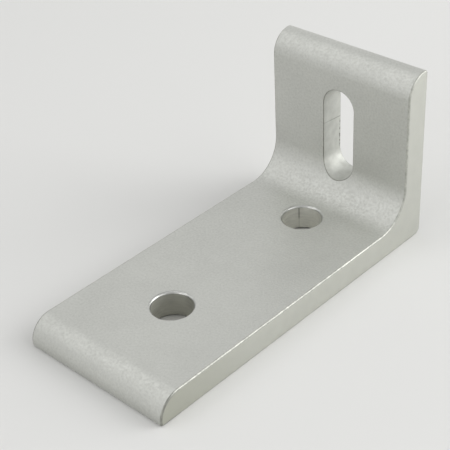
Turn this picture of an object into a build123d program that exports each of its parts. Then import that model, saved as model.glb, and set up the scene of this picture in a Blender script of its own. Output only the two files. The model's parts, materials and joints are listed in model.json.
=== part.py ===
"""T-slot corner bracket: an L-shaped bracket sawn from one aluminium extrusion.

The long base leg bolts along one framing profile, and the short upright leg bolts to
another that meets it at a right angle. The upright's slot lets that bolt find its place.

Frame, in millimetres: X runs across the width, the toe of the base points along -Y,
the upright's outer face looks along +Y, and +Z is up. The origin is the centre of the
footprint, on the plane the base rests on.
"""
from build123d import *

import os

# Extruded section
LEG_THICKNESS = 6.0
UPRIGHT_HEIGHT = 39.5
INNER_FILLET = 8.0
HEEL_RADIUS = 1.5
TOE_RADIUS = 5.0
TOE_BOTTOM_RADIUS = 0.6
TOP_RADIUS = 4.9
TOP_BACK_RADIUS = 0.7
MIN_END_FLAT = 0.2

# Length sawn off the extrusion, and the break along its sawn edges
BRACKET_WIDTH = 36.0
SAWN_EDGE_BREAK = 0.35

# Bolt holes in the base, on its centre line
BOLT_HOLE_DIAMETER = 8.5
BOLT_HOLE_CHAMFER = 0.5
REAR_HOLE_FROM_BACK = 18.5
BOLT_HOLE_SPACING = 40.0
FRONT_HOLE_TO_TOE = 21.5

# Slot milled square through the upright
SLOT_WIDTH = 8.0
SLOT_LENGTH = 21.4
SLOT_CENTRE_HEIGHT = 20.6
SLOT_EDGE_BREAK = 0.15

# Where those sizes put the faces and the holes
base_length = REAR_HOLE_FROM_BACK + BOLT_HOLE_SPACING + FRONT_HOLE_TO_TOE
toe_y = -base_length / 2
back_y = base_length / 2
inner_y = back_y - LEG_THICKNESS
rear_hole_y = back_y - REAR_HOLE_FROM_BACK
front_hole_y = rear_hole_y - BOLT_HOLE_SPACING

# Each leg's end keeps a short flat between its large radius and its small one
toe_radius = min(TOE_RADIUS, LEG_THICKNESS - TOE_BOTTOM_RADIUS - MIN_END_FLAT)
top_radius = min(TOP_RADIUS, LEG_THICKNESS - TOP_BACK_RADIUS - MIN_END_FLAT)

# The section's corners in the YZ plane, going round from the toe, with their radii
section_corners = [
    ((toe_y, 0), TOE_BOTTOM_RADIUS),
    ((back_y, 0), HEEL_RADIUS),
    ((back_y, UPRIGHT_HEIGHT), TOP_BACK_RADIUS),
    ((inner_y, UPRIGHT_HEIGHT), top_radius),
    ((inner_y, LEG_THICKNESS), INNER_FILLET),
    ((toe_y, LEG_THICKNESS), toe_radius),
]

with BuildPart() as corner_bracket:
    # The extruded L section, half the width to each side of the centre line
    with BuildSketch(Plane.YZ) as section:
        with BuildLine():
            Polyline([point for point, radius in section_corners], close=True)
        make_face()
        for point, radius in section_corners:
            fillet(section.vertices().sort_by_distance(point)[0], radius)
    extrude(amount=BRACKET_WIDTH / 2, both=True)

    # The saw's sharp edges, broken all the way round both ends
    sawn_ends = corner_bracket.faces().filter_by(Axis.X)
    chamfer(sawn_ends.edges(), SAWN_EDGE_BREAK)

    # Bolt holes through the base, chamfered above and below
    with Locations((0, rear_hole_y, LEG_THICKNESS), (0, front_hole_y, LEG_THICKNESS)):
        Hole(BOLT_HOLE_DIAMETER / 2, depth=LEG_THICKNESS)
    hole_rims = corner_bracket.edges(Select.LAST).filter_by(GeomType.CIRCLE)
    chamfer(hole_rims, BOLT_HOLE_CHAMFER)

    # Slot through the upright; its lower end runs out into the inner fillet
    with BuildSketch(Plane.XZ.offset(-back_y)):
        with Locations((0, SLOT_CENTRE_HEIGHT)):
            SlotOverall(SLOT_LENGTH, SLOT_WIDTH, rotation=90)
    extrude(amount=LEG_THICKNESS + INNER_FILLET, mode=Mode.SUBTRACT)
    cut_edges = corner_bracket.edges(Select.LAST)
    slot_rims = cut_edges.filter_by(Axis.Y, reverse=True).filter_by(Axis.X, reverse=True)
    chamfer(slot_rims, SLOT_EDGE_BREAK)

corner_bracket.part.label = "corner_bracket"

os.makedirs("parts", exist_ok=True)
export_step(corner_bracket.part, "parts/corner_bracket.step")
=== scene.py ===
"""The T-slot corner bracket's finish: anodised skin, sawn ends, drilled holes and milled slot.

The bracket is one piece of extruded aluminium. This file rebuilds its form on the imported
model's own sizes, with fine breaks along its edges, and gives each kind of surface the
finish that its making left: etched skin, sawn ends, drilled bores, milled slot.
"""

import json
import math

import bpy
from mathutils import Euler, Matrix, Vector


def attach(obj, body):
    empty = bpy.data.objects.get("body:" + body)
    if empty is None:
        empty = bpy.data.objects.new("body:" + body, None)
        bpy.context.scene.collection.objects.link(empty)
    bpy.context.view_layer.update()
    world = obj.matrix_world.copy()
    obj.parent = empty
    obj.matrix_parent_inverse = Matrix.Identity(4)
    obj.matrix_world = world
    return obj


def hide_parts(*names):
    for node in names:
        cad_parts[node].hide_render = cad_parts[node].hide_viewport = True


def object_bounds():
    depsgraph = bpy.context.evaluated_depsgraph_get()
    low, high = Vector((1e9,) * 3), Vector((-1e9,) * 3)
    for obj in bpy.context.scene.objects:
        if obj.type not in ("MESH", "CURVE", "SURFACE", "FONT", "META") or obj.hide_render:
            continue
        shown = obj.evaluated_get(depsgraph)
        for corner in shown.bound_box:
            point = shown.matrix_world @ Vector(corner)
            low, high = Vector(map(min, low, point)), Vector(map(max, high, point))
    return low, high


bl_info = {
    "name": "T-slot corner bracket",
    "version": (1, 0, 0),
    "blender": (4, 5, 0),
    "location": "3D View > Sidebar > Bracket",
    "description": "Builds a slotted corner bracket with its finishes, and the studio round it",
    "category": "Object",
}

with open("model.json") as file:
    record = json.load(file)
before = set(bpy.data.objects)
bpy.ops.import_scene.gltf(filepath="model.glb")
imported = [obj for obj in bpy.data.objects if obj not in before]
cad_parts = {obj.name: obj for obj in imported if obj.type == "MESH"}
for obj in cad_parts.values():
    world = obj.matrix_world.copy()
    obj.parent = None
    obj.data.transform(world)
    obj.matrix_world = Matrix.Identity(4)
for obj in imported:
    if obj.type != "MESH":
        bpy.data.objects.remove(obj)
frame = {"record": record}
CAD_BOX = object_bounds()
CAD_LOW, CAD_HIGH = (Vector(corner) for corner in CAD_BOX)
MOUNTS = {mount["name"]: mount for mount in frame["record"]["mounts"]}
NODE = "corner_bracket"
MM = 0.001

# Faces closer than this are one face
TOUCHING = 0.001 * MM

# Steps round a whole hole, and along each rounded corner
ROUND_STEPS = 96
ARC_STEPS = 24

# Most of a noise texture's values lie between these
NOISE_LOW = 0.3
NOISE_HIGH = 0.7

# Round softboxes: turn from the toe towards the right and height in degrees, and watts
SOFTBOXES = (
    ("toe_softbox", 0, 18, 1.3),
    ("right_softbox", 90, 18, 0.7),
    ("heel_softbox", 135, 18, 3.2),
    ("high_right_softbox", 113, 42, 1.05),
    ("high_heel_softbox", 157, 42, 1.05),
    ("back_left_softbox", 225, 18, 0.45),
    ("overhead_softbox", 270, 65, 0.75),
    ("left_front_softbox", 315, 42, 0.65),
)


def linear(hex_colour):
    """An sRGB hex colour such as "C8C8C2" as linear red, green, blue and alpha."""
    channels = [int(hex_colour[i:i + 2], 16) / 255 for i in (0, 2, 4)]
    return (*(c / 12.92 if c <= 0.04045 else ((c + 0.055) / 1.055) ** 2.4 for c in channels), 1)


def length(name, description, default):
    """A size in metres for the sidebar."""
    return bpy.props.FloatProperty(
        name=name, description=description, default=default, unit="LENGTH", precision=5
    )


def angle(name, description, degrees):
    """An angle for the sidebar."""
    return bpy.props.FloatProperty(
        name=name, description=description, default=math.radians(degrees),
        subtype="ANGLE", unit="ROTATION", precision=3,
    )


def colour(name, description, hex_colour):
    """A surface colour for the sidebar."""
    return bpy.props.FloatVectorProperty(
        name=name, description=description, default=linear(hex_colour), size=4,
        subtype="COLOR", min=0, max=1,
    )


class BracketSizes(bpy.types.PropertyGroup):
    """Sizes of the bracket, in metres."""

    width: length("Width", "Length sawn off the extrusion", CAD_HIGH.x - CAD_LOW.x)
    leg_thickness: length("Leg thickness", "Wall of both legs", 6.0 * MM)
    inner_fillet: length("Inner fillet", "Radius between the legs", 8.0 * MM)
    heel_radius: length("Heel radius", "Outer corner below the upright", 1.5 * MM)
    toe_radius: length("Toe radius", "Upper edge of the base leg's end", 5.0 * MM)
    toe_bottom_radius: length("Toe bottom radius", "Lower edge of that end", 0.6 * MM)
    top_radius: length("Top radius", "Inner edge of the upright's end", 4.9 * MM)
    top_back_radius: length("Top back radius", "Outer edge of that end", 0.7 * MM)
    sawn_edge_break: length("Sawn edge break", "Break round both sawn ends", 0.35 * MM)
    bolt_hole_radius: length(
        "Bolt hole radius", "Clearance hole in the base",
        MOUNTS["rear_bolt_hole"]["dims"]["r_mm"] * MM,
    )
    bolt_hole_chamfer: length("Bolt hole chamfer", "On both ends of a hole", 0.5 * MM)
    slot_width: length(
        "Slot width", "Across the upright's slot",
        2 * MOUNTS["upright_slot"]["dims"]["hole_r_mm"] * MM,
    )
    slot_length: length(
        "Slot length", "From end to end of its round ends",
        MOUNTS["upright_slot"]["dims"]["slot_length_mm"] * MM,
    )
    slot_edge_break: length("Slot edge break", "Break round the slot's rims", 0.15 * MM)


class BracketColours(bpy.types.PropertyGroup):
    """Colours of the bracket's finishes."""

    skin: colour("Skin", "Etched and clear anodised extrusion", "CBCCC7")
    sawn: colour("Sawn end", "Anodised saw cut", "CCCDC6")
    # Used towards the toe, where the sawn end gets darker and a little warmer
    sawn_toe: colour("Sawn end at the toe", "Where the cut dulls", "BBBCB1")
    # Painted light: the rear bore is painted lighter than the front one, though both are one
    # drilled wall
    lit_rear_bore: colour("Rear bore", "Drilled wall nearer the upright", "F2F2EB")
    shaded_front_bore: colour("Front bore", "Drilled wall nearer the toe", "CCCCC3")
    chamfer: colour("Chamfer", "Countersunk rim", "D2D3CF")
    slot: colour("Slot wall", "Milled wall", "CACBC6")
    deburred: colour("Deburred edge", "Brushed edge break", "BCBDB6")
    # Painted shade: darker edge breaks at the toe and round the slot
    shaded_edge: colour("Shaded edge", "Edge break at the toe and the slot", "9FA099")
    witness: colour("Witness line", "Where a tool stopped or dwelt", "55554B")


class BracketStudio(bpy.types.PropertyGroup):
    """The camera, the floor and the lamps."""

    azimuth: angle("Azimuth", "Camera's turn from the toe towards the right", 44.242)
    elevation: angle("Elevation", "Camera's height above the floor", 34.111)
    roll: angle("Roll", "Camera's turn about its line of sight", -3.083)
    distance: length("Camera distance", "From the point it looks at", 0.23969)
    aim: bpy.props.FloatVectorProperty(
        name="Aim", description="Point looked at, from the middle of the bracket",
        default=(0.0002, -0.0026, -0.003), subtype="TRANSLATION", unit="LENGTH",
    )
    focal_length: bpy.props.FloatProperty(
        name="Focal length", description="Lens, in millimetres on a 36 mm sensor", default=96.3
    )
    floor: colour("Floor", "Pale floor and backdrop", "D8D8D6")
    softbox_size: length("Softbox size", "Across each round softbox", 0.6)
    softbox_distance: length("Softbox distance", "From the middle of the bracket", 0.8)
    fill: bpy.props.FloatProperty(
        name="Fill", description="Even light from all round", default=0.5, min=0
    )


def feed(node, inputs):
    """Sets and links a node's inputs. A node given as a value stands for its first output."""
    for key, given in inputs.items():
        named = [socket for socket in node.inputs if socket.enabled and socket.name == key]
        target = named[0] if named else node.inputs[key]
        for source in given if isinstance(given, list) else [given]:
            if isinstance(source, bpy.types.Node):
                source = [socket for socket in source.outputs if socket.enabled][0]
            if isinstance(source, bpy.types.NodeSocket):
                node.id_data.links.new(source, target)
            else:
                target.default_value = source


def add_node(tree, kind, inputs=None, **settings):
    """Adds a node with its settings, and feeds its inputs."""
    node = tree.nodes.new(kind)
    for name, value in settings.items():
        setattr(node, name, value)
    feed(node, inputs or {})
    return node


def new_metal(name):
    """A metal's material, with its tree, its shader and the object's coordinates."""
    material = bpy.data.materials.new(name)
    material.use_nodes = True
    tree = material.node_tree
    shader = tree.nodes["Principled BSDF"]
    shader.inputs["Metallic"].default_value = 1
    return material, tree, shader, add_node(tree, "ShaderNodeTexCoord").outputs["Object"]


def shaded(colour_value, share):
    """A colour made lighter or darker by a share."""
    return (*(channel * share for channel in colour_value[:3]), 1)


def skin_material(colours):
    """Extruded aluminium, etched matt in caustic and clear anodised.

    The etch leaves fine pits, so light spreads softly and glints a little where the skin turns.
    The pits are drawn about five times their real width of 0.1 mm, or they wouldn't show.
    """
    material, tree, shader, place = new_metal("etched_anodised_extrusion")
    pit_width = 0.5 * MM
    pit_depth = 0.05 * MM
    cloud_width = 9 * MM
    pits = add_node(tree, "ShaderNodeTexNoise", {
        "Vector": place, "Scale": 1 / pit_width, "Detail": 1, "Roughness": 0.6,
    })
    clouds = add_node(tree, "ShaderNodeTexNoise", {
        "Vector": place, "Scale": 1 / cloud_width, "Detail": 3, "Roughness": 0.55,
    })
    mottled = add_node(tree, "ShaderNodeMix", {"Factor": 0.45, "A": clouds, "B": pits})
    tone = add_node(tree, "ShaderNodeMapRange", {
        "Value": mottled, "From Min": NOISE_LOW, "From Max": NOISE_HIGH,
    })
    tone = add_node(tree, "ShaderNodeMix", {
        "Factor": tone, "A": shaded(colours.skin, 0.95), "B": shaded(colours.skin, 1.05),
    }, data_type="RGBA")
    gloss = add_node(tree, "ShaderNodeMapRange", {
        "Value": pits, "From Min": NOISE_LOW, "From Max": NOISE_HIGH,
        "To Min": 0.62, "To Max": 0.42,
    })
    etched = add_node(tree, "ShaderNodeBump", {"Distance": pit_depth, "Height": pits})
    feed(shader, {"Base Color": tone, "Roughness": gloss, "Normal": etched})
    return material


def sawn_material(colours):
    """A circular saw's cut, anodised with the rest: smoother than the skin, faintly cloudy.

    The teeth's score marks are drawn about four times their real width of 0.1 mm.
    """
    material, tree, shader, place = new_metal("sawn_anodised_end")
    cloud_width = 3 * MM
    score_width = 0.4 * MM
    score_depth = 0.008 * MM
    clouds = add_node(tree, "ShaderNodeTexNoise", {
        "Vector": place, "Scale": 1 / cloud_width, "Detail": 3,
    })
    tone = add_node(tree, "ShaderNodeMapRange", {
        "Value": clouds, "From Min": NOISE_LOW, "From Max": NOISE_HIGH,
    })
    tone = add_node(tree, "ShaderNodeMix", {
        "Factor": tone, "A": shaded(colours.sawn, 0.98), "B": shaded(colours.sawn, 1.02),
    }, data_type="RGBA")

    # The sawn end gets darker and a little warmer towards the toe
    along = add_node(tree, "ShaderNodeSeparateXYZ", {"Vector": place}).outputs["Y"]
    toward_toe = add_node(tree, "ShaderNodeMapRange", {
        "Value": along, "From Min": -15 * MM, "From Max": -42 * MM,
    })
    tone = add_node(tree, "ShaderNodeMix", {
        "Factor": toward_toe, "A": tone, "B": colours.sawn_toe,
    }, data_type="RGBA")
    scores = add_node(tree, "ShaderNodeTexNoise", {
        "Vector": place, "Scale": 1 / score_width, "Detail": 1,
    })
    scored = add_node(tree, "ShaderNodeBump", {"Distance": score_depth, "Height": scores})
    feed(shader, {"Base Color": tone, "Roughness": 0.5, "Normal": scored})
    return material


def bore_material(colours):
    """A drilled wall under the anodising: faint rings from the drill, dull and olive grey.

    The drill's lip stood still on one side of the rear bore, and left a dark line down it.
    """
    material, tree, shader, place = new_metal("drilled_bore")
    along = add_node(tree, "ShaderNodeSeparateXYZ", {"Vector": place}).outputs
    # Painted light: the rear bore is painted lighter than the front one, though both are one
    # drilled wall
    rear = add_node(tree, "ShaderNodeMapRange", {
        "Value": along["Y"], "From Min": -10 * MM, "From Max": 10 * MM,
    })
    wall = add_node(tree, "ShaderNodeMix", {
        "Factor": rear, "A": colours.shaded_front_bore, "B": colours.lit_rear_bore,
    }, data_type="RGBA")

    # Rings six times as long round the bore as they are wide. A drill's feed leaves them
    # about 0.2 mm apart, and they are drawn twice as far apart so that they show
    ring_length = 2.5 * MM
    squeezed = add_node(tree, "ShaderNodeMapping", {"Vector": place, "Scale": (1, 1, 6)})
    rings = add_node(tree, "ShaderNodeTexNoise", {
        "Vector": squeezed, "Scale": 1 / ring_length, "Detail": 3, "Roughness": 0.6,
    })
    rings = add_node(tree, "ShaderNodeMapRange", {
        "Value": rings, "From Min": NOISE_LOW, "From Max": NOISE_HIGH,
        "To Min": 0.14, "To Max": 0,
    })

    # Painted light: the wall darkens towards its mouth, so that its lower part looks lit from
    # below
    wall_darkening = add_node(tree, "ShaderNodeMapRange", {
        "Value": along["Z"], "From Min": 0.5 * MM, "From Max": 5.5 * MM, "To Max": 0.12,
    })
    wall_darkening = add_node(tree, "ShaderNodeMath", {0: rings, 1: wall_darkening}, operation="ADD")
    wall = add_node(tree, "ShaderNodeMix", {
        "Factor": wall_darkening, "A": wall, "B": (0, 0, 0, 1),
    }, data_type="RGBA")

    # The dark line, in the rear bore's own coordinates turned so that X points at it
    bore = MOUNTS["rear_bolt_hole"]
    line_turn = math.radians(138)
    turned = add_node(tree, "ShaderNodeMapping", {
        "Vector": place, "Location": Vector(bore["pos_m"]), "Rotation": (0, 0, line_turn),
    }, vector_type="TEXTURE")
    turned = add_node(tree, "ShaderNodeSeparateXYZ", {"Vector": turned}).outputs
    off = add_node(tree, "ShaderNodeMath", {0: turned["Y"]}, operation="ABSOLUTE")
    line = add_node(tree, "ShaderNodeMapRange", {
        "Value": off, "From Min": 0.05 * MM, "From Max": 0.22 * MM, "To Min": 1, "To Max": 0,
    })
    facing = add_node(tree, "ShaderNodeMath", {
        0: turned["X"], 1: bore["dims"]["r_mm"] * MM, 2: 0.5 * MM,
    }, operation="COMPARE")

    # It is dark in the wall's upper half and faint below
    depth = add_node(tree, "ShaderNodeMapRange", {
        "Value": along["Z"], "From Min": 2.4 * MM, "From Max": 3.4 * MM,
        "To Min": 0.15, "To Max": 0.6,
    })
    depth = add_node(tree, "ShaderNodeMath", {0: depth, 1: facing}, operation="MULTIPLY")
    line = add_node(tree, "ShaderNodeMath", {0: line, 1: depth}, operation="MULTIPLY")
    wall = add_node(tree, "ShaderNodeMix", {
        "Factor": line, "A": wall, "B": colours.witness,
    }, data_type="RGBA")
    feed(shader, {"Base Color": wall, "Roughness": 0.6})
    return material


def chamfer_material(colours):
    """A countersink's cut, brighter than the skin because the etch hardly touched it."""
    material, tree, shader, place = new_metal("countersunk_chamfer")
    smear_length = 1.5 * MM
    smears = add_node(tree, "ShaderNodeTexNoise", {
        "Vector": place, "Scale": 1 / smear_length, "Detail": 3, "Roughness": 0.6,
    })
    smears = add_node(tree, "ShaderNodeMapRange", {
        "Value": smears, "From Min": 0.35, "From Max": 0.65,
    })
    tone = add_node(tree, "ShaderNodeMix", {
        "Factor": smears, "A": shaded(colours.chamfer, 0.8), "B": colours.chamfer,
    }, data_type="RGBA")
    gloss = add_node(tree, "ShaderNodeMapRange", {
        "Value": smears, "To Min": 0.42, "To Max": 0.3,
    })
    feed(shader, {"Base Color": tone, "Roughness": gloss})
    return material


def slot_material(colours):
    """An end mill's wall: satin, faintly smeared, crossed by the line where two passes met."""
    material, tree, shader, place = new_metal("milled_slot_wall")
    along = add_node(tree, "ShaderNodeSeparateXYZ", {"Vector": place}).outputs
    swirl_width = 2 * MM
    swirl = add_node(tree, "ShaderNodeTexNoise", {
        "Vector": place, "Scale": 1 / swirl_width, "Detail": 3, "Roughness": 0.6,
    })
    swirl = add_node(tree, "ShaderNodeMapRange", {
        "Value": swirl, "From Min": NOISE_LOW, "From Max": NOISE_HIGH,
    })
    tone = add_node(tree, "ShaderNodeMix", {
        "Factor": swirl, "A": shaded(colours.slot, 0.95), "B": shaded(colours.slot, 1.05),
    }, data_type="RGBA")

    # The line falls a little from the upright's inner face to its outer one, and darkens
    slope = 0.09
    line_height = 25.15 * MM
    line_half_width = 0.12 * MM
    level = add_node(tree, "ShaderNodeMath", {
        0: along["Y"], 1: slope, 2: along["Z"],
    }, operation="MULTIPLY_ADD")
    line = add_node(tree, "ShaderNodeMath", {
        0: level, 1: line_height, 2: line_half_width,
    }, operation="COMPARE")
    left = add_node(tree, "ShaderNodeMath", {0: along["X"], 1: 0}, operation="LESS_THAN")
    line = add_node(tree, "ShaderNodeMath", {0: line, 1: left}, operation="MULTIPLY")
    share = add_node(tree, "ShaderNodeMapRange", {
        "Value": along["Y"], "From Min": CAD_HIGH.y - 6 * MM, "From Max": CAD_HIGH.y,
        "To Min": 0.15, "To Max": 0.45,
    })
    line = add_node(tree, "ShaderNodeMath", {0: line, 1: share}, operation="MULTIPLY")
    tone = add_node(tree, "ShaderNodeMix", {
        "Factor": line, "A": tone, "B": colours.witness,
    }, data_type="RGBA")

    # The cutter broke out through the outer rim and left it chipped along its lower half
    chip_length = 0.5 * MM
    chips_height = 17.4 * MM
    chips_reach = 3.8 * MM
    chips = add_node(tree, "ShaderNodeTexNoise", {
        "Vector": place, "Scale": 1 / chip_length, "Detail": 1,
    })
    chips = add_node(tree, "ShaderNodeMapRange", {
        "Value": chips, "From Min": 0.5, "From Max": 0.6, "To Max": 0.8,
    })
    chipped = add_node(tree, "ShaderNodeMath", {
        0: along["Z"], 1: chips_height, 2: chips_reach,
    }, operation="COMPARE")
    outer = add_node(tree, "ShaderNodeMath", {
        0: along["Y"], 1: CAD_HIGH.y - 0.5 * MM,
    }, operation="GREATER_THAN")
    for where in (chipped, outer, left):
        chips = add_node(tree, "ShaderNodeMath", {0: chips, 1: where}, operation="MULTIPLY")
    tone = add_node(tree, "ShaderNodeMix", {
        "Factor": chips, "A": tone, "B": colours.witness,
    }, data_type="RGBA")
    gloss = add_node(tree, "ShaderNodeMapRange", {
        "Value": swirl, "To Min": 0.78, "To Max": 0.66,
    })
    feed(shader, {"Base Color": tone, "Roughness": gloss})
    return material


def edge_material(colours):
    """An edge broken with a brush before anodising: fine, satin and uneven.

    At the toe and round the slot the edges are glossier, and painted darker as painted shade.
    """
    material, tree, shader, place = new_metal("deburred_edge")
    nick_length = 0.8 * MM
    nicks = add_node(tree, "ShaderNodeTexNoise", {
        "Vector": place, "Scale": 1 / nick_length, "Detail": 2, "Roughness": 0.6,
    })
    nicks = add_node(tree, "ShaderNodeMapRange", {
        "Value": nicks, "From Min": 0.35, "From Max": 0.65,
    })
    tones = [add_node(tree, "ShaderNodeMix", {
        "Factor": nicks, "A": shaded(shade, 0.85), "B": shaded(shade, 1.1),
    }, data_type="RGBA") for shade in (colours.deburred, colours.shaded_edge)]

    # The painted shade starts where the toe's rounding does, and the slot's edges lie near the
    # middle
    middle_reach = 10 * MM
    along = add_node(tree, "ShaderNodeSeparateXYZ", {"Vector": place}).outputs
    toe = add_node(tree, "ShaderNodeMapRange", {
        "Value": along["Y"], "From Min": -34.5 * MM, "From Max": -37.5 * MM,
    })
    slot = add_node(tree, "ShaderNodeMath", {
        0: along["X"], 1: 0, 2: middle_reach,
    }, operation="COMPARE")
    shaded_edge = add_node(tree, "ShaderNodeMath", {0: toe, 1: slot}, operation="MAXIMUM")
    tone = add_node(tree, "ShaderNodeMix", {
        "Factor": shaded_edge, "A": tones[0], "B": tones[1],
    }, data_type="RGBA")
    gloss = add_node(tree, "ShaderNodeMapRange", {
        "Value": nicks, "To Min": 0.63, "To Max": 0.53,
    })
    gloss = add_node(tree, "ShaderNodeMath", {
        0: shaded_edge, 1: -0.23, 2: gloss,
    }, operation="MULTIPLY_ADD")
    feed(shader, {"Base Color": tone, "Roughness": gloss})
    return material


def section_mesh(sizes):
    """The section's corners, seen from the sawn end, each with the radius that rounds it."""
    toe, back, top = CAD_LOW.y, CAD_HIGH.y, CAD_HIGH.z
    inner = back - sizes.leg_thickness
    corners = (
        (toe, 0, sizes.toe_bottom_radius),
        (back, 0, sizes.heel_radius),
        (back, top, sizes.top_back_radius),
        (inner, top, sizes.top_radius),
        (inner, sizes.leg_thickness, sizes.inner_fillet),
        (toe, sizes.leg_thickness, sizes.toe_radius),
    )
    count = len(corners)
    mesh = bpy.data.meshes.new("section")
    points = [(y, z, 0) for y, z, radius in corners]
    mesh.from_pydata(points, [(i, (i + 1) % count) for i in range(count)], [])
    radii = mesh.attributes.new("corner_radius", "FLOAT", "POINT")
    for item, (y, z, radius) in zip(radii.data, corners):
        item.value = radius
    return mesh


BAR_INPUTS = (
    ("Width", "NodeSocketFloat"),
    ("Arc steps", "NodeSocketInt"),
)
CUT_INPUTS = (
    ("Width", "NodeSocketFloat"),
    ("Sawn edge break", "NodeSocketFloat"),
    ("Arc steps", "NodeSocketInt"),
    ("Leg thickness", "NodeSocketFloat"),
    ("Bolt hole radius", "NodeSocketFloat"),
    ("Bolt hole chamfer", "NodeSocketFloat"),
    ("Front bolt hole", "NodeSocketVector"),
    ("Bolt hole pitch", "NodeSocketVector"),
    ("Slot width", "NodeSocketFloat"),
    ("Slot length", "NodeSocketFloat"),
    ("Slot start", "NodeSocketVector"),
    ("Slot depth", "NodeSocketFloat"),
    ("Skin", "NodeSocketMaterial"),
    ("Deburred edge", "NodeSocketMaterial"),
    ("Sawn end", "NodeSocketMaterial"),
    ("Bore", "NodeSocketMaterial"),
    ("Chamfer", "NodeSocketMaterial"),
    ("Slot wall", "NodeSocketMaterial"),
)


def new_tree(name, inputs):
    """A geometry tree that takes and gives geometry, and has these named inputs."""
    tree = bpy.data.node_groups.new(name, "GeometryNodeTree")
    sockets = tree.interface
    sockets.new_socket("Geometry", in_out="OUTPUT", socket_type="NodeSocketGeometry")
    sockets.new_socket("Geometry", in_out="INPUT", socket_type="NodeSocketGeometry")
    for label, kind in inputs:
        sockets.new_socket(label, in_out="INPUT", socket_type=kind)
    return tree, add_node(tree, "NodeGroupInput").outputs


def drawn_up(tree, outline, height):
    """A flat closed outline drawn up into a closed solid."""
    face = add_node(tree, "GeometryNodeFillCurve", {"Curve": outline}, mode="NGONS")
    wall = add_node(tree, "GeometryNodeExtrudeMesh", {
        "Mesh": face, "Offset": (0, 0, 1), "Offset Scale": height, "Individual": False,
    })
    back = add_node(tree, "GeometryNodeFlipFaces", {"Mesh": face})
    both = add_node(tree, "GeometryNodeJoinGeometry", {"Geometry": [wall, back]})
    return add_node(tree, "GeometryNodeMergeByDistance", {
        "Geometry": both, "Distance": TOUCHING,
    })


def extruded_bar_tree():
    """The extrusion sawn to length, with its sawn edges marked for their break."""
    tree, given = new_tree("extruded_bar", BAR_INPUTS)
    corner_radius = add_node(tree, "GeometryNodeInputNamedAttribute", {
        "Name": "corner_radius",
    }, data_type="FLOAT")
    outline = add_node(tree, "GeometryNodeMeshToCurve", {"Mesh": given["Geometry"]})
    rounded = add_node(tree, "GeometryNodeFilletCurve", {
        "Curve": outline, "Count": given["Arc steps"], "Radius": corner_radius,
    }, mode="POLY")
    half = add_node(tree, "ShaderNodeMath", {
        0: given["Width"], 1: -0.5,
    }, operation="MULTIPLY")
    left_end = add_node(tree, "ShaderNodeCombineXYZ", {"X": half})
    bar = add_node(tree, "GeometryNodeTransform", {
        "Geometry": drawn_up(tree, rounded, given["Width"]), "Translation": left_end,
        "Rotation": (math.pi / 2, 0, math.pi / 2),
    })

    # Only the edges round the two ends bend as sharply as this
    sawn_bend = math.radians(60)
    bend = add_node(tree, "GeometryNodeInputMeshEdgeAngle")
    sharp = add_node(tree, "ShaderNodeMath", {0: bend, 1: sawn_bend}, operation="GREATER_THAN")
    bar = add_node(tree, "GeometryNodeStoreNamedAttribute", {
        "Geometry": bar, "Name": "bevel_weight_edge", "Value": sharp,
    }, data_type="FLOAT", domain="EDGE")
    add_node(tree, "NodeGroupOutput", {"Geometry": bar})
    return tree


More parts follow.
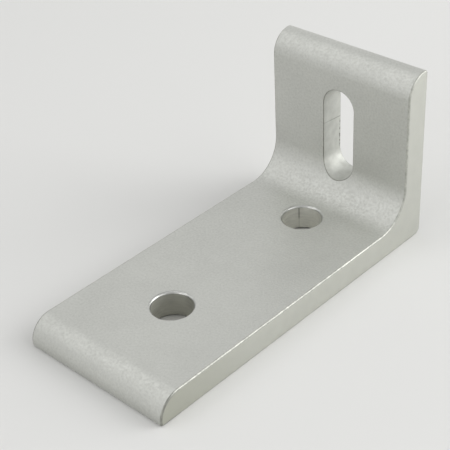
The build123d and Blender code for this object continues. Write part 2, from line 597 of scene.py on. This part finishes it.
def cuts_tree():
    """The bar drilled, countersunk and slotted, each surface with its own finish."""
    tree, given = new_tree("bracket_cuts", CUT_INPUTS)
    bar = add_node(tree, "GeometryNodeSetMaterial", {
        "Geometry": given["Geometry"], "Material": given["Skin"],
    })

    # The drill and its countersinks run out past both faces of the base, the drill further
    sink_overrun = 0.5 * MM
    drill_overrun = 1 * MM
    drill_length = add_node(tree, "ShaderNodeMath", {
        0: given["Leg thickness"], 1: 2 * drill_overrun,
    }, operation="ADD")
    drill = add_node(tree, "GeometryNodeMeshCylinder", {
        "Vertices": ROUND_STEPS, "Radius": given["Bolt hole radius"], "Depth": drill_length,
    })
    mid_height = add_node(tree, "ShaderNodeMath", {
        0: given["Leg thickness"], 1: 0.5,
    }, operation="MULTIPLY")
    mid_height = add_node(tree, "ShaderNodeCombineXYZ", {"Z": mid_height})
    drill = add_node(tree, "GeometryNodeTransform", {
        "Geometry": drill, "Translation": mid_height,
    })
    drill = add_node(tree, "GeometryNodeSetMaterial", {
        "Geometry": drill, "Material": given["Bore"],
    })

    # A countersink at 90 degrees on each face, as deep as it is wide
    sink_depth = add_node(tree, "ShaderNodeMath", {
        0: given["Bolt hole chamfer"], 1: sink_overrun,
    }, operation="ADD")
    sink_radius = add_node(tree, "ShaderNodeMath", {
        0: given["Bolt hole radius"], 1: sink_depth,
    }, operation="ADD")
    upper = add_node(tree, "GeometryNodeMeshCone", {
        "Vertices": ROUND_STEPS, "Radius Top": sink_radius,
        "Radius Bottom": given["Bolt hole radius"], "Depth": sink_depth,
    })
    upper_start = add_node(tree, "ShaderNodeMath", {
        0: given["Leg thickness"], 1: given["Bolt hole chamfer"],
    }, operation="SUBTRACT")
    upper_start = add_node(tree, "ShaderNodeCombineXYZ", {"Z": upper_start})
    upper = add_node(tree, "GeometryNodeTransform", {
        "Geometry": upper, "Translation": upper_start,
    })
    lower = add_node(tree, "GeometryNodeMeshCone", {
        "Vertices": ROUND_STEPS, "Radius Top": given["Bolt hole radius"],
        "Radius Bottom": sink_radius, "Depth": sink_depth,
    })
    lower = add_node(tree, "GeometryNodeTransform", {
        "Geometry": lower, "Translation": (0, 0, -sink_overrun),
    })
    sinks = add_node(tree, "GeometryNodeJoinGeometry", {"Geometry": [upper, lower]})
    sinks = add_node(tree, "GeometryNodeSetMaterial", {
        "Geometry": sinks, "Material": given["Chamfer"],
    })

    # Both holes are the same tool, set out along the base
    tool = add_node(tree, "GeometryNodeJoinGeometry", {"Geometry": [drill, sinks]})
    centres = add_node(tree, "GeometryNodeMeshLine", {
        "Count": 2, "Start Location": given["Front bolt hole"],
        "Offset": given["Bolt hole pitch"],
    }, mode="OFFSET")
    drilled = add_node(tree, "GeometryNodeInstanceOnPoints", {
        "Points": centres, "Instance": tool,
    })
    drilled = add_node(tree, "GeometryNodeRealizeInstances", {"Geometry": drilled})

    # The slot, milled square through the upright. Its ends' radius is a hair under half its
    # width, so that the two quarters of an end don't share a point
    share_of_width = 0.4999
    outline = add_node(tree, "GeometryNodeCurvePrimitiveQuadrilateral", {
        "Width": given["Slot width"], "Height": given["Slot length"],
    })
    end_radius = add_node(tree, "ShaderNodeMath", {
        0: given["Slot width"], 1: share_of_width,
    }, operation="MULTIPLY")
    outline = add_node(tree, "GeometryNodeFilletCurve", {
        "Curve": outline, "Count": given["Arc steps"], "Radius": end_radius,
    }, mode="POLY")
    milled = add_node(tree, "GeometryNodeTransform", {
        "Geometry": drawn_up(tree, outline, given["Slot depth"]),
        "Translation": given["Slot start"], "Rotation": (math.pi / 2, 0, 0),
    })
    milled = add_node(tree, "GeometryNodeSetMaterial", {
        "Geometry": milled, "Material": given["Slot wall"],
    })
    cut = add_node(tree, "GeometryNodeMeshBoolean", {
        "Mesh 1": bar, "Mesh 2": [drilled, milled], "Self Intersection": True,
    }, operation="DIFFERENCE", solver="EXACT")

    # The slot's rims are the sharp edges above the base that aren't at an end
    rim_bend = math.radians(40)
    clear_of_base = 1.2
    place = add_node(tree, "GeometryNodeInputPosition")
    place = add_node(tree, "ShaderNodeSeparateXYZ", {"Vector": place}).outputs
    across = add_node(tree, "ShaderNodeMath", {0: place["X"]}, operation="ABSOLUTE")
    bend = add_node(tree, "GeometryNodeInputMeshEdgeAngle")
    sharp = add_node(tree, "ShaderNodeMath", {0: bend, 1: rim_bend}, operation="GREATER_THAN")
    above_base = add_node(tree, "ShaderNodeMath", {
        0: given["Leg thickness"], 1: clear_of_base,
    }, operation="MULTIPLY")
    above_base = add_node(tree, "ShaderNodeMath", {
        0: place["Z"], 1: above_base,
    }, operation="GREATER_THAN")
    at_slot = add_node(tree, "ShaderNodeMath", {
        0: across, 1: given["Slot width"],
    }, operation="LESS_THAN")
    rim = add_node(tree, "ShaderNodeMath", {0: sharp, 1: above_base}, operation="MULTIPLY")
    rim = add_node(tree, "ShaderNodeMath", {0: rim, 1: at_slot}, operation="MULTIPLY")
    marked = add_node(tree, "GeometryNodeStoreNamedAttribute", {
        "Geometry": cut, "Name": "bevel_weight_edge", "Value": rim,
    }, data_type="FLOAT", domain="EDGE")

    # The breaks and the saw's faces get their finish by how far out they are
    whole = add_node(tree, "GeometryNodeRealizeInstances", {"Geometry": marked})
    half = add_node(tree, "ShaderNodeMath", {0: given["Width"], 1: 0.5}, operation="MULTIPLY")
    break_start = add_node(tree, "ShaderNodeMath", {
        0: half, 1: given["Sawn edge break"],
    }, operation="SUBTRACT")
    in_break = add_node(tree, "ShaderNodeMath", {
        0: across, 1: break_start,
    }, operation="GREATER_THAN")
    whole = add_node(tree, "GeometryNodeSetMaterial", {
        "Geometry": whole, "Selection": in_break, "Material": given["Deburred edge"],
    })
    saw_face = add_node(tree, "ShaderNodeMath", {0: half, 1: TOUCHING}, operation="SUBTRACT")
    at_end = add_node(tree, "ShaderNodeMath", {0: across, 1: saw_face}, operation="GREATER_THAN")
    whole = add_node(tree, "GeometryNodeSetMaterial", {
        "Geometry": whole, "Selection": at_end, "Material": given["Sawn end"],
    })
    add_node(tree, "NodeGroupOutput", {"Geometry": whole})
    return tree


def add_tree(piece, tree, values):
    """A tree as a modifier, with its inputs set."""
    modifier = piece.modifiers.new(tree.name, "NODES")
    modifier.node_group = tree
    for socket in tree.interface.items_tree:
        if socket.in_out == "INPUT" and socket.name in values:
            modifier[socket.identifier] = values[socket.name]


def plain_mesh(piece):
    """The plain mesh that a piece's modifiers make. The piece and its modifiers go."""
    evaluated = piece.evaluated_get(bpy.context.evaluated_depsgraph_get())
    mesh = bpy.data.meshes.new_from_object(evaluated)
    piece.modifiers.clear()
    bpy.data.objects.remove(piece)

    # The section had no material, which leaves an empty slot
    for index in reversed(range(len(mesh.materials))):
        if mesh.materials[index] is None:
            mesh.materials.pop(index=index)
    return mesh


class OBJECT_OT_corner_bracket(bpy.types.Operator):
    """Build the bracket with its finishes"""

    bl_idname = "object.corner_bracket"
    bl_label = "Corner bracket"

    def execute(self, context):
        sizes = context.scene.bracket_sizes
        colours = context.scene.bracket_colours
        front = Vector(MOUNTS["front_bolt_hole"]["pos_m"])
        rear = Vector(MOUNTS["rear_bolt_hole"]["pos_m"])
        slot = Vector(MOUNTS["upright_slot"]["pos_m"])
        cutter_overrun = 2 * MM

        blank = bpy.data.objects.new("blank", section_mesh(sizes))
        context.collection.objects.link(blank)
        add_tree(blank, extruded_bar_tree(), {"Width": sizes.width, "Arc steps": ARC_STEPS})
        bevel = blank.modifiers.new("edge_break", "BEVEL")
        bevel.limit_method = "WEIGHT"
        bevel.width = sizes.sawn_edge_break
        bevel.segments = 3
        bevel.use_clamp_overlap = False
        add_tree(blank, cuts_tree(), {
            "Width": sizes.width,
            "Sawn edge break": sizes.sawn_edge_break,
            "Arc steps": ARC_STEPS,
            "Leg thickness": sizes.leg_thickness,
            "Bolt hole radius": sizes.bolt_hole_radius,
            "Bolt hole chamfer": sizes.bolt_hole_chamfer,
            "Front bolt hole": (front.x, front.y, 0),
            "Bolt hole pitch": rear - front,
            "Slot width": sizes.slot_width,
            "Slot length": sizes.slot_length,
            "Slot start": (slot.x, slot.y + cutter_overrun, slot.z),
            "Slot depth": sizes.leg_thickness + sizes.inner_fillet + 2 * cutter_overrun,
            "Skin": skin_material(colours),
            "Deburred edge": edge_material(colours),
            "Sawn end": sawn_material(colours),
            "Bore": bore_material(colours),
            "Chamfer": chamfer_material(colours),
            "Slot wall": slot_material(colours),
        })
        mesh = plain_mesh(blank)
        mesh.name = "bracket"
        mesh.shade_smooth()
        piece = bpy.data.objects.new("bracket", mesh)
        context.collection.objects.link(piece)
        bevel = piece.modifiers.new("slot_edge_break", "BEVEL")
        bevel.limit_method = "WEIGHT"
        bevel.width = sizes.slot_edge_break
        bevel.segments = 2
        bevel.material = mesh.materials.find("deburred_edge")
        bevel.use_clamp_overlap = False
        piece.modifiers.new("flat_faces_stay_flat", "WEIGHTED_NORMAL")
        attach(piece, "root")
        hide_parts(NODE)
        return {"FINISHED"}


class OBJECT_OT_bracket_studio(bpy.types.Operator):
    """Add the floor, the lamps and the camera"""

    bl_idname = "object.bracket_studio"
    bl_label = "Studio"

    def execute(self, context):
        studio = context.scene.bracket_studio
        middle = (CAD_LOW + CAD_HIGH) / 2
        bpy.ops.mesh.primitive_plane_add(size=3, location=(0, 0, CAD_LOW.z))
        floor = context.object
        floor.name = "floor"

        # A board painted matt, which spreads the light evenly and mirrors nothing
        material = bpy.data.materials.new("matt_painted_board")
        material.use_nodes = True
        feed(material.node_tree.nodes["Principled BSDF"], {
            "Base Color": studio.floor, "Roughness": 0.9,
        })
        floor.data.materials.append(material)

        world = bpy.data.worlds.new("studio")
        world.use_nodes = True
        feed(world.node_tree.nodes["Background"], {
            "Color": (1, 1, 1, 1), "Strength": studio.fill,
        })
        context.scene.world = world

        for name, azimuth, elevation, watts in SOFTBOXES:
            light = bpy.data.lights.new(name, "AREA")
            light.shape = "DISK"
            light.size = studio.softbox_size
            light.energy = watts
            lamp = bpy.data.objects.new(name, light)
            turn = Euler((math.pi / 2 - math.radians(elevation), 0, math.radians(azimuth)))
            lamp.rotation_euler = turn
            lamp.location = middle + turn.to_matrix() @ Vector((0, 0, studio.softbox_distance))
            context.collection.objects.link(lamp)

        camera_data = bpy.data.cameras.new("camera")
        camera_data.lens = studio.focal_length
        camera = bpy.data.objects.new("camera", camera_data)
        turn = Euler((math.pi / 2 - studio.elevation, 0, studio.azimuth)).to_matrix()
        turn = turn @ Matrix.Rotation(studio.roll, 3, "Z")
        back = turn @ Vector((0, 0, 1))
        place = Matrix.Translation(middle + Vector(studio.aim) + studio.distance * back)
        camera.matrix_world = place @ turn.to_4x4()
        context.collection.objects.link(camera)
        context.scene.camera = camera
        context.scene.view_settings.view_transform = "Standard"
        return {"FINISHED"}


class VIEW3D_PT_corner_bracket(bpy.types.Panel):
    """Sizes, finishes and studio of the bracket"""

    bl_label = "Corner bracket"
    bl_space_type = "VIEW_3D"
    bl_region_type = "UI"
    bl_category = "Bracket"

    def draw(self, context):
        for operator in OPERATORS:
            self.layout.operator(operator.bl_idname)


GROUPS = {
    "bracket_sizes": BracketSizes,
    "bracket_colours": BracketColours,
    "bracket_studio": BracketStudio,
}
OPERATORS = (OBJECT_OT_corner_bracket, OBJECT_OT_bracket_studio)
CLASSES = tuple(GROUPS.values()) + OPERATORS + (VIEW3D_PT_corner_bracket,)


def register():
    for cls in CLASSES:
        bpy.utils.register_class(cls)
    for name, group in GROUPS.items():
        setattr(bpy.types.Scene, name, bpy.props.PointerProperty(type=group))


def unregister():
    for name in GROUPS:
        delattr(bpy.types.Scene, name)
    for cls in reversed(CLASSES):
        bpy.utils.unregister_class(cls)


def main():
    register()
    bpy.ops.object.corner_bracket()
    bpy.ops.object.bracket_studio()


if __name__ == "__main__":
    main()
